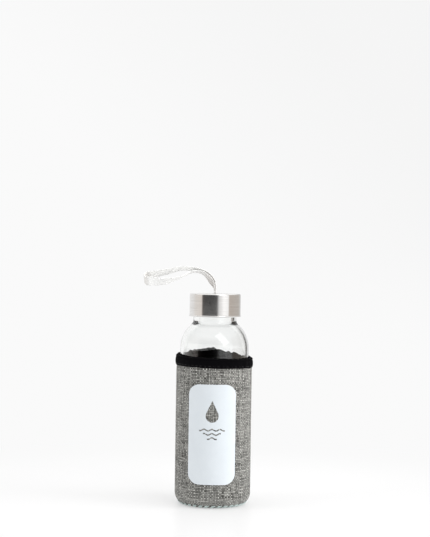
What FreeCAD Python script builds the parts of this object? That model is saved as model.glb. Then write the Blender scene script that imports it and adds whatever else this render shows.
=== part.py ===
"""Glass water bottle with a steel screw cap, a ribbon carrying loop and a sewn foam sleeve.

Frame: millimetres, +Z up, origin at the centre of the sleeve's underside, on the surface that the
bottle stands on. The front of the sleeve, with its printed panel, faces -Y, and the carrying loop
leans towards -X. Every piece is written to parts/NAME.step.
"""
import FreeCAD
import Part
import math
import os

Vector = FreeCAD.Vector
ORIGIN = Vector(0, 0, 0)
UP = Vector(0, 0, 1)
BACK = Vector(0, 1, 0)

# Driving dimensions
glass_r = 30.0            # outer radius of the glass body
glass_wall = 2.5
total_height = 184.0      # underside of the sleeve to the top of the cap, loop left out
cap_r = 22.45             # outer radius of the steel shell
cap_height = 20.1
neck_bore_r = 15.0        # clear mouth of the bottle
thread_pitch = 4.233      # six turns to the inch, as on a 38 mm neck finish
sleeve_height = 130.0
sleeve_wall = 2.8
sleeve_gap = 0.3          # between the glass and the sleeve's lining
ribbon_width = 9.0
ribbon_thick = 0.8

# Glass bottle, from its standing ring up
base_thick = sleeve_wall
glass_z = base_thick + 0.2            # the glass stands here, on the sleeve's base
corner_r = 8.0                        # outer radius of the heel
inner_corner_r = 6.0
ring_r = glass_r - corner_r           # radius of the standing ring
punt_height = 1.8
floor_thick = 4.5
floor_crown = 0.9                     # rise of the inner floor at its middle
shoulder_r = 28.0                     # the shoulder is nearly a dome
shoulder_z = 136.2                    # height of the dome's centre
bead_r = 18.9                         # plain band under the screw thread
neck_fillet = 5.0
inner_neck_fillet = 6.0
finish_r = 17.3                       # neck wall between the threads
bead_top_z = 164.4
glass_thread_r = 17.35                # centre of the round thread on the glass
glass_tooth = 1.25
glass_thread_z = 167.0
glass_thread_turns = 1.5
thread_start = 35.0                   # degrees from +X to the foot of the glass thread
lip_r = 0.8

# Cap, from its top down
cap_top_z = total_height
cap_bottom_z = cap_top_z - cap_height
steel = 0.5                           # sheet thickness of the shell
cap_edge_r = 1.2
hem_r = 0.65                          # rolled hem round the shell's open end
cord_hole_r = 2.75
insert_r = cap_r - steel - 0.1
insert_bore_r = 19.1
insert_top_z = cap_top_z - steel - 0.1
pocket_floor_z = insert_top_z - 3.2   # floor of the pocket that holds the loop's sewn end
insert_plate = 1.6
insert_plate_z = pocket_floor_z - insert_plate
pocket_r = 9.0
pocket_wall = 1.5
insert_rim_wall = 1.95
rib_count = 8
rib_thick = 1.2
insert_crest_r = 17.75                # section of the cap's thread, from its crest into the liner
insert_flank_r = 18.3
insert_root_r = 19.7
insert_tooth = (0.45, 0.95, 1.3)      # half widths at those three radii
insert_thread_turns = 1.25
thread_drop = 2.0                     # the cap's thread bears this far under the glass's
insert_thread_lift = 2.2              # how far up the helix the cap's thread begins
seal_thick = 1.5
seal_r = 18.95
seal_bore_r = 12.5
rim_z = insert_plate_z - seal_thick - 0.1

# Sewn sleeve
sleeve_in_r = glass_r + sleeve_gap
sleeve_r = sleeve_in_r + sleeve_wall
lining_thick = 0.3
face_thick = 0.5
curve_z = 10.5                        # the wall starts to turn under here
curve_r = 24.6                        # radius of the centre of that turn
curve_drop = 9.73                     # its height at the outer face
seam_r = 28.3                         # the wall and the base meet here
seam_gap = 0.1
base_flat_r = 24.0
base_edge_z = 1.7
tape_thick = 0.7                      # elastic binding over the top edge
tape_height = 9.4
tape_inner_height = 7.0

# Printed panel on the front of the sleeve
panel_half_width = 20.1
panel_bottom_z = 21.2
panel_top_z = 106.8
panel_corner_r = 9.0
panel_thick = 0.15
panel_shift_x = -1.1
drop_z = 80.0                         # centre of the round part of the drop cut out of it
drop_r = 5.6
drop_tip = 13.0                       # height of the drop's tip over that centre
ripple_z = 68.0                       # the upper one of the ripples cut out under the drop
ripple_step = 3.6
ripple_half_widths = [11.0, 7.6, 4.2]
ripple_height = 0.7                   # of the wave
ripple_long = 6.8                     # from crest to crest
ripple_half_thick = 0.6

# Threads of the sewing
base_stitches = 34
base_thread_r = 0.4
base_lean = 3.4                       # half of a stitch's reach round the base, in degrees
seam_thread_r = 0.25
seam_pitch = 3.0
seam_half = 1.6                       # half of a stitch's reach across the back seam
tape_thread_r = 0.2
tape_stitches = 54
tape_stitch_long = 2.6

# Carrying loop
knuckle_r = 1.15
knuckle_z = cap_top_z + 1.5           # the loop swings about this height
root_width = 4.2                      # the ribbon is gathered to this width in the cap's hole
washer_r = 7.5
washer_bore_r = 2.6
washer_thick = 0.8
washer_z = cap_top_z - steel - 0.2 - washer_thick
stem_half = 1.0                       # half the thickness of the two gathered layers
tab_long = 6.0
tab_thick = 0.9

# The middle line of the loop, as (x, height over the knuckle), from the cap to the far end
loop_spine = [(0.0, 0.0), (-0.3, 3.5), (-2.0, 7.0), (-4.7, 11.3), (-8.7, 15.6), (-14.2, 18.2),
              (-21.2, 18.5), (-28.6, 17.0), (-36.2, 14.7), (-44.0, 12.8), (-51.8, 11.6), (-59.0, 11.0)]
# Along that line, as (share of its length, value): how wide the ribbon is, how far its two legs
# stand off the line, and how far it is turned about the line.
loop_width = [(0.0, root_width), (0.17, ribbon_width), (1.0, ribbon_width)]
loop_opening = [(0.0, 0.52), (0.3, 0.58), (0.42, 1.3), (0.62, 4.4), (0.8, 5.2), (1.0, 4.3)]
loop_turn = [(0.0, 0.0), (0.13, 34.0), (0.38, 22.0), (0.6, 27.0), (0.85, 42.0), (1.0, 57.0)]
leg_sections = 26
fold_sections = 8


def polar(radius, angle, z):
    return Vector(radius * math.cos(angle), radius * math.sin(angle), z)


def at(point):
    """A point of an outline, (radius, height), in the plane that is turned about Z."""
    return Vector(point[0], 0, point[1])


def outline(start, *steps):
    """Closed wire from start. A step is the next point, or (a point on the way, the next point) for an arc."""
    edges, here = [], at(start)
    for step in steps + (start,):
        curved = isinstance(step[0], tuple)
        there = at(step[1] if curved else step)
        if (there - here).Length > 1e-6:
            line = Part.Arc(here, at(step[0]), there) if curved else Part.LineSegment(here, there)
            edges.append(line.toShape())
        here = there
    return Part.Wire(edges)


def turned(*path):
    """Solid of revolution about Z of a closed outline."""
    return Part.Face(outline(*path)).revolve(ORIGIN, UP, 360)


def on_arc(centre, radius, degrees):
    """The point of a circle in the outline's plane at an angle from the radial direction."""
    a = math.radians(degrees)
    return (centre[0] + radius * math.cos(a), centre[1] + radius * math.sin(a))


def tube(start, middle, end, radius):
    """Round thread along an arc through three points, with closed flat ends."""
    edge = Part.Arc(start, middle, end).toShape()
    section = Part.Wire(Part.makeCircle(radius, start, edge.tangentAt(edge.FirstParameter)))
    return Part.Wire(edge).makePipeShell([section], True, False)


def helix_sweep(section, radius, z, turns, start_degrees):
    """A closed section in the plane of X and Z, swept up a helix about Z."""
    helix = Part.makeHelix(thread_pitch, thread_pitch * turns, radius)
    ridge = Part.Wire(helix.Edges).makePipeShell([section], True, True)
    ridge.rotate(ORIGIN, UP, start_degrees)
    ridge.translate(Vector(0, 0, z))
    return ridge


def value(table, share):
    """Smooth value from (share, value) pairs."""
    for (s0, v0), (s1, v1) in zip(table, table[1:]):
        if share <= s1:
            t = max(0.0, (share - s0) / (s1 - s0))
            return v0 + (v1 - v0) * t * t * (3 - 2 * t)
    return table[-1][1]


# ---------------------------------------------------------------- glass

def dome_join(dome_radius, wall_r, fillet):
    """Where a fillet joins a shoulder dome to a straight wall: its centre and its end on the dome."""
    centre_r = glass_r - shoulder_r
    reach = dome_radius + fillet
    across = wall_r + fillet - centre_r
    rise = math.sqrt(reach ** 2 - across ** 2)
    share = dome_radius / reach
    return (wall_r + fillet, shoulder_z + rise), (centre_r + across * share, shoulder_z + rise * share)


def glass_bottle():
    """Blown body, dome shoulder and moulded neck with a round screw thread."""
    dome = (glass_r - shoulder_r, shoulder_z)
    outer_fillet, outer_end = dome_join(shoulder_r, bead_r, neck_fillet)
    inner_dome = shoulder_r - glass_wall
    inner_fillet, inner_end = dome_join(inner_dome, neck_bore_r, inner_neck_fillet)
    inner_r = glass_r - glass_wall
    inner_floor = glass_z + floor_thick
    heel = (ring_r, glass_z + corner_r)
    inner_heel = (inner_r - inner_corner_r, inner_floor + inner_corner_r)
    crown_r = (inner_heel[0] ** 2 + floor_crown ** 2) / (2 * floor_crown)
    crown = (ring_r / 2, inner_floor + floor_crown - crown_r + math.sqrt(crown_r ** 2 - ring_r ** 2 / 4))
    body = turned(
        (0, glass_z + punt_height),
        ((ring_r / 2, glass_z + 0.8 * punt_height), (ring_r - 2.5, glass_z + 0.4)),
        (ring_r - 1.5, glass_z),
        (ring_r, glass_z),
        (on_arc(heel, corner_r, -45), (glass_r, heel[1])),
        (glass_r, shoulder_z),
        (on_arc(dome, shoulder_r, 20), outer_end),
        (on_arc(outer_fillet, neck_fillet, 205), (bead_r, outer_fillet[1])),
        (bead_r, bead_top_z - lip_r),
        (on_arc((bead_r - lip_r, bead_top_z - lip_r), lip_r, 45), (bead_r - lip_r, bead_top_z)),
        (finish_r, bead_top_z),
        (finish_r, rim_z - lip_r),
        (on_arc((finish_r - lip_r, rim_z - lip_r), lip_r, 45), (finish_r - lip_r, rim_z)),
        (neck_bore_r + lip_r, rim_z),
        (on_arc((neck_bore_r + lip_r, rim_z - lip_r), lip_r, 135), (neck_bore_r, rim_z - lip_r)),
        (neck_bore_r, inner_fillet[1]),
        (on_arc(inner_fillet, inner_neck_fillet, 205), inner_end),
        (on_arc(dome, inner_dome, 20), (inner_r, shoulder_z)),
        (inner_r, inner_heel[1]),
        (on_arc(inner_heel, inner_corner_r, -45), (inner_heel[0], inner_floor)),
        (crown, (0, inner_floor + floor_crown)),
    )
    section = Part.Wire(Part.makeCircle(glass_tooth, Vector(glass_thread_r, 0, 0), BACK))
    ridge = helix_sweep(section, glass_thread_r, glass_thread_z, glass_thread_turns, thread_start)
    pieces = [ridge]
    for turns in (0, glass_thread_turns):
        angle = math.radians(thread_start) + 2 * math.pi * turns
        end = polar(glass_thread_r, angle, glass_thread_z + thread_pitch * turns)
        pieces.append(Part.makeSphere(1.06 * glass_tooth, end))
    return body.multiFuse(pieces).removeSplitter()


# ---------------------------------------------------------------- cap

def cap_shell():
    """Drawn steel cup with a rolled hem and a plain round hole in the middle of its top."""
    inner = cap_r - steel
    hem = (cap_r - 0.3, cap_bottom_z + hem_r)
    outer_meet = hem[1] + math.sqrt(hem_r ** 2 - (cap_r - hem[0]) ** 2)
    inner_meet = hem[1] + math.sqrt(hem_r ** 2 - (hem[0] - inner) ** 2)
    edge = (cap_r - cap_edge_r, cap_top_z - cap_edge_r)
    return turned(
        (cord_hole_r, cap_top_z),
        (edge[0], cap_top_z),
        (on_arc(edge, cap_edge_r, 45), (cap_r, edge[1])),
        (cap_r, outer_meet),
        ((hem[0], cap_bottom_z), (inner, inner_meet)),
        (inner, edge[1]),
        (on_arc(edge, cap_edge_r - steel, 45), (edge[0], cap_top_z - steel)),
        (cord_hole_r, cap_top_z - steel),
    )


def cap_insert():
    """Moulded liner with the cap's screw thread, a ribbed top and a pocket for the loop's end."""
    groove_r = insert_r - insert_rim_wall
    body = turned(
        (0, insert_plate_z),
        (insert_bore_r, insert_plate_z),
        (insert_bore_r, cap_bottom_z + 1.5),
        (insert_bore_r + 0.6, cap_bottom_z + 0.7),
        (insert_r - 0.55, cap_bottom_z + 0.7),
        (insert_r, cap_bottom_z + 1.7),
        (insert_r, insert_top_z - 0.8),
        (insert_r - 0.7, insert_top_z),
        (groove_r, insert_top_z),
        (groove_r, pocket_floor_z),
        (pocket_r + pocket_wall, pocket_floor_z),
        (pocket_r + pocket_wall, insert_top_z),
        (pocket_r, insert_top_z),
        (pocket_r, pocket_floor_z),
        (0, pocket_floor_z),
    )
    rib_from = pocket_r + pocket_wall - 0.3
    rib_long = groove_r - rib_from + 0.3
    crest, flank, root = insert_tooth
    section = outline((insert_crest_r, -crest), (insert_crest_r, crest), (insert_flank_r, flank),
                      (insert_root_r, root), (insert_root_r, -root), (insert_flank_r, -flank))
    pieces = [helix_sweep(section, insert_bore_r, glass_thread_z - thread_drop + insert_thread_lift,
                          insert_thread_turns, thread_start + 360 * insert_thread_lift / thread_pitch)]
    for i in range(rib_count):
        rib = Part.makeBox(rib_long, rib_thick, insert_top_z - pocket_floor_z - 0.3,
                           Vector(rib_from, -rib_thick / 2, pocket_floor_z - 0.2))
        rib.rotate(ORIGIN, UP, 360 * i / rib_count)
        pieces.append(rib)
    return body.multiFuse(pieces).removeSplitter()


def ring(outer, bore, bottom, thick, edge=0.0):
    """Flat ring with its outer edges rounded."""
    piece = Part.makeCylinder(outer, thick, Vector(0, 0, bottom))
    if bore:
        piece = piece.cut(Part.makeCylinder(bore, thick, Vector(0, 0, bottom)))
    if edge:
        piece = piece.makeFillet(edge, [e for e in piece.Edges if e.Length > 6 * outer and e.Closed])
    return piece


# ---------------------------------------------------------------- sleeve

def wall_layer(inner, outer, top_in, top_out, top_z):
    """One layer of the sleeve's wall between two depths, measured in from its outer face.

    It is thinner where the binding grips it, and turns under to the seam round the base.
    """
    def curve(depth, radius):
        """Height of the turn at a radius, on the surface that lies this deep in the wall."""
        across = sleeve_r - depth - curve_r
        drop = curve_drop - depth
        return curve_z - drop * math.sqrt(1 - ((radius - curve_r) / across) ** 2)

    def turn(depth):
        """A point on the way round the turn and its end at the seam, on the surface at a depth."""
        middle_r = curve_r + 0.8 * (sleeve_r - depth - curve_r)
        end_r = seam_r + seam_gap
        return (middle_r, curve(depth, middle_r)), (end_r, curve(depth, end_r))

    outer_r, inner_r = sleeve_r - inner, sleeve_r - outer
    grip_z = sleeve_height - tape_height - 0.5
    far_middle, far_end = turn(inner)
    near_middle, near_end = turn(outer)
    round_r = (top_out - top_in) / 2
    return turned(
        (outer_r, curve_z),
        (outer_r, grip_z),
        (top_out, grip_z + 1.0),
        (top_out, top_z - round_r),
        (((top_out + top_in) / 2, top_z), (top_in, top_z - round_r)),
        (top_in, grip_z + 1.0),
        (inner_r, grip_z),
        (inner_r, curve_z),
        (near_middle, near_end),
        far_end,
        (far_middle, (outer_r, curve_z)),
    )


def sleeve_layers():
    """Woven face, foam and lining. The binding squeezes the foam, so the lining steps out there."""
    grip_in = sleeve_in_r + tape_thick
    foam_top = sleeve_height - tape_thick - 0.1
    cloth_top = foam_top - 0.9
    lining_depth = sleeve_wall - lining_thick
    return {
        "sleeve_face": wall_layer(0, face_thick, sleeve_r - face_thick, sleeve_r, cloth_top),
        "sleeve_foam": wall_layer(face_thick, lining_depth, grip_in + lining_thick,
                                  sleeve_r - face_thick, foam_top),
        "sleeve_lining": wall_layer(lining_depth, sleeve_wall, grip_in, grip_in + lining_thick,
                                    cloth_top),
    }


def base_curve(radius, lift):
    """Height of the base's underside, lifted, at a radius past its flat middle."""
    bend = ((seam_r - base_flat_r) ** 2 + base_edge_z ** 2) / (2 * base_edge_z)
    return lift + bend - math.sqrt(bend ** 2 - (radius - base_flat_r) ** 2)


def base_layers():
    """Woven face, foam and lining of the base disc. Its edge turns up to the seam."""
    edge = seam_r - seam_gap
    middle = (base_flat_r + edge) / 2
    foam_top = base_thick - lining_thick

    def turn_up(lift):
        """The arc from the flat middle to the edge, as a point on the way and its end."""
        return (middle, base_curve(middle, lift)), (edge, base_curve(edge, lift))

    inside = ((middle, base_curve(middle, face_thick)), (base_flat_r, face_thick))
    return {
        "base_face": turned((0, 0), (base_flat_r, 0), turn_up(0), (edge, base_curve(edge, face_thick)),
                            inside, (0, face_thick)),
        "base_foam": turned((0, face_thick), (base_flat_r, face_thick), turn_up(face_thick),
                            (edge, foam_top), (0, foam_top)),
        "base_lining": ring(edge, 0, foam_top, lining_thick),
    }


def top_binding():
    """Elastic tape folded over the sleeve's top edge."""
    outer, inner = sleeve_r + tape_thick, sleeve_in_r
    middle = (outer + inner) / 2
    bend_z = sleeve_height - (outer - inner) / 2
    low, inner_low = sleeve_height - tape_height, sleeve_height - tape_inner_height
    return turned(
        (outer, low),
        (outer, bend_z),
        ((middle, sleeve_height), (inner, bend_z)),
        (inner, inner_low),
        (inner + tape_thick, inner_low),
        (inner + tape_thick, bend_z),
        ((middle, sleeve_height - tape_thick), (sleeve_r, bend_z)),
        (sleeve_r, low),
    )


def ripple(z, half_long):
    """Flat wavy band, level and centred on the panel."""
    steps = 16
    xs = [half_long * (2 * i / steps - 1) for i in range(steps + 1)]

    def side(offset):
        curve = Part.BSplineCurve()
        curve.interpolate([at((x, z + offset + ripple_height * math.cos(2 * math.pi * x / ripple_long)))
                           for x in xs])
        return curve.toShape()

    low, high = side(-ripple_half_thick), side(ripple_half_thick)
    ends = [Part.LineSegment(low.valueAt(u), high.valueAt(u)).toShape()
            for u in (low.FirstParameter, low.LastParameter)]
    return Part.Face(Part.Wire(Part.__sortEdges__([low, high] + ends)))


def print_panel():
    """Thin white panel printed on the front of the sleeve, with a drop and ripples left open."""
    half, low, high, bend = panel_half_width, panel_bottom_z, panel_top_z, panel_corner_r
    slant = bend * (1 - math.sqrt(0.5))
    sheet = Part.Face(outline(
        (-half + bend, low),
        (half - bend, low),
        ((half - slant, low + slant), (half, low + bend)),
        (half, high - bend),
        ((half - slant, high - slant), (half - bend, high)),
        (-half + bend, high),
        ((-half + slant, high - slant), (-half, high - bend)),
        (-half, low + bend),
        ((-half + slant, low + slant), (-half + bend, low)),
    ))
    touch = math.acos(drop_r / drop_tip)              # where the drop's straight sides leave its circle
    side = (drop_r * math.sin(touch), drop_z + drop_r * math.cos(touch))
    drop = Part.Face(outline((0, drop_z + drop_tip), side,
                             ((0, drop_z - drop_r), (-side[0], side[1]))))
    ripples = [ripple(ripple_z - ripple_step * i, w) for i, w in enumerate(ripple_half_widths)]
    shape = sheet.cut([drop] + ripples)
    shape.translate(Vector(panel_shift_x, 0, 0))
    block = shape.extrude(Vector(0, -sleeve_r - 5, 0))
    gap = 0.02
    skin = Part.makeCylinder(sleeve_r + gap + panel_thick, high - low + 2, Vector(0, 0, low - 1))
    skin = skin.cut(Part.makeCylinder(sleeve_r + gap, high - low + 2, Vector(0, 0, low - 1)))
    return block.common(skin)


def around(count, make):
    """The same piece made at equal steps round Z."""
    return Part.makeCompound([make(2 * math.pi * i / count) for i in range(count)])


def base_stitch(angle):
    """Slanted overcast stitch from the base, across the seam, to the wall."""
    lean = math.radians(base_lean)
    return tube(polar(seam_r - 0.7, angle - lean, 0.6), polar(seam_r + 0.7, angle, 1.58),
                polar(seam_r + 2.5, angle + lean, 3.15), base_thread_r)


def back_seam_stitches():
    """Zigzag of threads across the butt joint up the back of the sleeve."""
    top = sleeve_height - tape_height - 2
    count = int((top - curve_z - 2) / seam_pitch)
    lift = sleeve_r + seam_thread_r + 0.05
    stitches = []
    for i in range(count):
        z = curve_z + 2 + seam_pitch * i
        rise = 0.32 * seam_pitch * (1 if i % 2 else -1)
        lean = seam_half / sleeve_r
        middle = math.pi / 2
        stitches.append(tube(polar(lift, middle - lean, z - rise), polar(lift, middle, z),
                             polar(lift, middle + lean, z + rise), seam_thread_r))
    return Part.makeCompound(stitches)


def tape_stitch(angle):
    """One of the running stitches that hold the binding, near its lower edge."""
    lift = sleeve_r + tape_thick + tape_thread_r + 0.05
    z = sleeve_height - tape_height + 1.6
    half = tape_stitch_long / 2 / sleeve_r
    return tube(polar(lift, angle - half, z), polar(lift, angle, z), polar(lift, angle + half, z),
                tape_thread_r)


# ---------------------------------------------------------------- carrying loop

def spine_curve():
    """The loop's middle line as a smooth curve."""
    curve = Part.BSplineCurve()
    curve.interpolate([Vector(x, 0, knuckle_z + z) for x, z in loop_spine])
    return curve


def loop_stations():
    """(centre, across) for each section of the ribbon: up one leg, round the fold and back.

    Across is the direction of the ribbon's width. Each leg stands off the middle line along the
    line's own normal, turned about the line; the fold is a half circle at its far end.
    """
    curve = spine_curve()
    length = curve.length()
    legs, ends = ([], []), None
    for i in range(leg_sections):
        share = i / (leg_sections - 1)
        u = curve.parameterAtDistance(share * length)
        centre = curve.value(u)
        along = Vector(*curve.tangent(u)[0]).normalize()
        normal = BACK.cross(along)
        turn = math.radians(value(loop_turn, share))
        across = BACK * -math.cos(turn) + normal * math.sin(turn)
        off = normal * math.cos(turn) + BACK * math.sin(turn)
        opening = value(loop_opening, share)
        width = value(loop_width, share)
        legs[0].append((centre + off * opening, across, width))
        legs[1].append((centre - off * opening, across, width))
        ends = (centre, along, off, across, opening, width)
    centre, along, off, across, opening, width = ends
    fold = []
    for i in range(1, fold_sections):
        a = math.pi * i / fold_sections
        fold.append((centre + off * (opening * math.cos(a)) + along * (opening * math.sin(a)), across, width))
    return legs[0] + fold + legs[1][::-1]


def strap_loop():
    """Woven ribbon doubled into a loop, with a round knuckle where it leaves the cap."""
    stations = loop_stations()
    sections = []
    for i, (centre, across, width) in enumerate(stations):
        before = stations[max(i - 1, 0)][0]
        after = stations[min(i + 1, len(stations) - 1)][0]
        thick = (after - before).cross(across).normalize() * (ribbon_thick / 2)
        half = across * (width / 2)
        corners = [centre + half + thick, centre - half + thick, centre - half - thick,
                   centre + half - thick, centre + half + thick]
        sections.append(Part.makePolygon(corners))
    ribbon = Part.makeLoft(sections, True, False)
    knuckle = Part.makeCylinder(knuckle_r, root_width, Vector(0, -root_width / 2, knuckle_z), BACK)
    return ribbon.fuse(knuckle).removeSplitter()


def strap_root():
    """The ribbon's two ends: through the hole and the washer, then folded out under it."""
    low = washer_z - 0.1 - tab_thick
    stem = Part.makeBox(2 * stem_half, root_width, knuckle_z - knuckle_r - 0.05 - low,
                        Vector(-stem_half, -root_width / 2, low))
    tabs = Part.makeBox(2 * tab_long, root_width + 2, tab_thick,
                        Vector(-tab_long, -root_width / 2 - 1, low))
    tabs = tabs.makeFillet(0.4, [e for e in tabs.Edges if abs(e.Length - tab_thick) < 1e-6])
    return stem.fuse(tabs).removeSplitter()


def strap_bartack():
    """Tight row of stitches that holds the folded ends together."""
    low = washer_z - 0.1 - tab_thick
    bars = []
    for side in (-1, 1):
        for i in range(5):
            bar = Part.makeCylinder(0.2, root_width, Vector(side * (2.2 + 0.7 * i), -root_width / 2, low - 0.25),
                                    BACK)
            bars.append(bar)
    return Part.makeCompound(bars)


def main():
    os.makedirs("parts", exist_ok=True)
    pieces = {
        "glass_bottle": glass_bottle(),
        "cap_shell": cap_shell(),
        "cap_insert": cap_insert(),
        "seal_ring": ring(seal_r, seal_bore_r, rim_z + 0.1, seal_thick, 0.3),
        "strap_washer": ring(washer_r, washer_bore_r, washer_z, washer_thick, 0.2),
        "strap_root": strap_root(),
        "strap_bartack": strap_bartack(),
        "strap_loop": strap_loop(),
        "top_binding": top_binding(),
        "print_panel": print_panel(),
        "base_stitches": around(base_stitches, base_stitch),
        "back_seam_stitches": back_seam_stitches(),
        "binding_stitches": around(tape_stitches, tape_stitch),
    }
    pieces.update(sleeve_layers())
    pieces.update(base_layers())
    for name, shape in pieces.items():
        solids = shape.Solids
        print(name, "solids", len(solids), "valid", shape.isValid(), "volume", round(shape.Volume, 1))
        shape.exportStep("parts/" + name + ".step")


main()
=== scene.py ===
"""Looks of a glass water bottle with a steel screw cap, a ribbon carrying loop and a sewn foam sleeve.

Metres, +Z up. The frame's bodies and the cap's hard parts come from the CAD; the glass, cloth, foam,
tape, thread and ribbon are surfaces worked out here.
"""
import math

import bmesh
import bpy
import mathutils
import numpy as np
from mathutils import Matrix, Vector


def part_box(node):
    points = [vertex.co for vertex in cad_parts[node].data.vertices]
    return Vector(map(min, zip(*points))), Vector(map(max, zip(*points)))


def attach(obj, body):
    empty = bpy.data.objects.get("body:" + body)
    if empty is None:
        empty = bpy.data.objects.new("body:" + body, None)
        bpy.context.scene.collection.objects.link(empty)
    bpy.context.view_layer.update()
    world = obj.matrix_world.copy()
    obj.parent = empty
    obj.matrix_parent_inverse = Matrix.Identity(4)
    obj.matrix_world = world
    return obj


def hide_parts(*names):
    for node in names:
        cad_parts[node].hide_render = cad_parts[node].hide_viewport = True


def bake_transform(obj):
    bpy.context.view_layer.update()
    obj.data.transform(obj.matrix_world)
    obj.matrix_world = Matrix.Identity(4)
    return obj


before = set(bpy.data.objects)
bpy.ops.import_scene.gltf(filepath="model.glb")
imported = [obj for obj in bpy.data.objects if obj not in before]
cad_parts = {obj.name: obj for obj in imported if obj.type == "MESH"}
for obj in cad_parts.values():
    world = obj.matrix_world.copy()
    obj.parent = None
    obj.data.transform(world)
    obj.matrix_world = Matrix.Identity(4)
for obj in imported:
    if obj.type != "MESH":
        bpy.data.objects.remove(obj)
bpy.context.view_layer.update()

MM = 0.001

LOW, HIGH = 0, 1
X, Z = 0, 2


def edge_of(node, side, axis):
    """Low or high edge of a CAD node's box along an axis, in millimetres."""
    return round(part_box(node)[side][axis] / MM, 2)


# Sizes in millimetres; those of a part that the CAD also has are the CAD's
SLEEVE_R = edge_of("sleeve_face", HIGH, X)
WALL_IN_R = 30.6           # the lining covers the rest
TURN_Z = 10.5              # under this height the wall turns in to the seam
TURN_CENTRE_R = 24.6
TURN_DROP = 9.73           # how far the outer face comes down in the turn
TURN_IN_DROP = 7.23        # and the inner one
SEAM_R = 28.4
WALL_TOP = edge_of("sleeve_lining", HIGH, Z) - 1.3      # inside the binding
YARNS_AROUND = 158
YARN = 2 * math.pi * SLEEVE_R / YARNS_AROUND
YARN_SAMPLES = 3           # mesh lines to a yarn
YARN_WANDER = 0.11         # in yarns
WEAVE_RELIEF = 0.13
BASE_STITCHES = 34
STRANDS_WIDE = 4           # to one of those stitches
TAPE_STITCHES = 54
SEAM_STITCHES = 35
SEAM_PITCH = 3.0
BAND_MIDDLE_R = 32.08      # middle of the folded tape's section
BAND_HALF = 1.78           # half its thickness
BAND_IN_LOW = 123.0        # where it ends inside the sleeve
BAND_CORDS = 300
BASE_R = edge_of("base_face", HIGH, X) - 0.05
BASE_FLAT_R = 24.0
BASE_EDGE_Z = 1.7
BASE_TOP_Z = edge_of("base_foam", HIGH, Z) - 0.02
BODY_R = edge_of("glass_bottle", HIGH, X)
BODY_IN_R = BODY_R - 2.5
FOOT_Z = edge_of("glass_bottle", LOW, Z)
FOOT_DOME_Z = 4.8          # top of the hollow under the bottle
FLOOR_Z = 8.4              # inside, at the middle
DOME = (2.0, 136.2)        # centre of the glass shoulder's section
DOME_R = 28.0
DOME_IN_R = 25.5
COLLAR_R = 18.9            # plain band under the thread
COLLAR_FILLET = 5.0
BORE_R = 15.0
BORE_FILLET = 6.0
NECK_R = 17.3
NECK_Z = 164.4
RIM_Z = edge_of("glass_bottle", HIGH, Z)
THREAD_R = 17.35
THREAD_Z = 167.0
THREAD_PITCH = 4.233
THREAD_TURNS = 1.5
THREAD_START = math.radians(35.0)
TOOTH = 1.25
KNUCKLE_Z = edge_of("strap_loop", LOW, Z) + 1.15        # the ribbon's loop starts here
GATHERED_WIDTH = 3.7       # of the ribbon in the washer
RIBBON_HALF_THICK = 0.36
RIB = 1.3                  # from one crosswise rib of the ribbon to the next


# ---------------------------------------------------------------- meshes

def build_mesh(name, points, faces, uv, material):
    """Object at the origin from points in millimetres, faces as tuples, and one UV pair per corner."""
    mesh = bpy.data.meshes.new(name)
    mesh.from_pydata((points * MM).tolist(), [], faces)
    if uv is not None:
        layer = mesh.uv_layers.new(name="UVMap")
        layer.data.foreach_set("uv", uv.astype(np.float32).ravel())
    mesh.polygons.foreach_set("use_smooth", np.ones(len(mesh.polygons), dtype=bool))
    mesh.update()
    obj = bpy.data.objects.new(name, mesh)
    bpy.context.scene.collection.objects.link(obj)
    obj.data.materials.append(material)
    return obj


def grid_faces(rows, columns, close_rows, close_columns):
    """Quads of a grid numbered row by row, and the unwrapped (row, column) of each corner."""
    i, j = np.meshgrid(np.arange(rows if close_rows else rows - 1),
                       np.arange(columns if close_columns else columns - 1), indexing="ij")
    i, j = i.ravel(), j.ravel()
    corners_i = np.stack([i, i + 1, i + 1, i], axis=1)
    corners_j = np.stack([j, j, j + 1, j + 1], axis=1)
    faces = (corners_i % rows) * columns + corners_j % columns
    return faces, corners_i, corners_j


def surface(name, points, material, close_rows=False, close_columns=False, u=None, v=None,
            pole_first=None, pole_last=None):
    """Mesh of a grid of points[row, column].

    u and v give the UV of each row and column line, one more than the grid has where it closes. They
    are lists, or grids with a value at every crossing.
    pole_first and pole_last are points that close the first and last column with a fan.
    """
    rows, columns = points.shape[:2]
    faces, corners_i, corners_j = grid_faces(rows, columns, close_rows, close_columns)
    vertices = points.reshape(-1, 3)
    face_list = faces.tolist()
    lines_u = np.arange(rows + 1, dtype=float) if u is None else np.asarray(u, dtype=float)
    lines_v = np.arange(columns + 1, dtype=float) if v is None else np.asarray(v, dtype=float)
    corner_u = lines_u[corners_i] if lines_u.ndim == 1 else lines_u[corners_i, corners_j]
    corner_v = lines_v[corners_j] if lines_v.ndim == 1 else lines_v[corners_i, corners_j]
    uv = [np.stack([corner_u, corner_v], axis=-1).reshape(-1, 2)]
    ring = np.arange(rows)
    following = (ring + 1) % rows
    for pole, column, forward in ((pole_first, 0, True), (pole_last, columns - 1, False)):
        if pole is None:
            continue
        centre = np.full(rows, len(vertices))
        vertices = np.vstack([vertices, np.array([pole], dtype=float)])
        near, far = ring * columns + column, following * columns + column
        fan = np.stack([near, centre, far] if forward else [near, far, centre], axis=1)
        face_list += fan.tolist()
        uv.append(np.tile([[0.0, 0.0]], (3 * rows, 1)))
    return build_mesh(name, vertices, face_list, np.vstack(uv), material)


def cylinder_points(angle, radius, height):
    """Points at angles from the front, counted towards +X, at a radius and a height."""
    everywhere = np.ones_like(angle * radius)
    return np.stack([radius * np.sin(angle), -radius * np.cos(angle), height * everywhere], axis=-1)


def around(count):
    """Column of count equal steps of angle round Z."""
    return np.linspace(0, 2 * math.pi, count, endpoint=False)[:, None]


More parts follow.
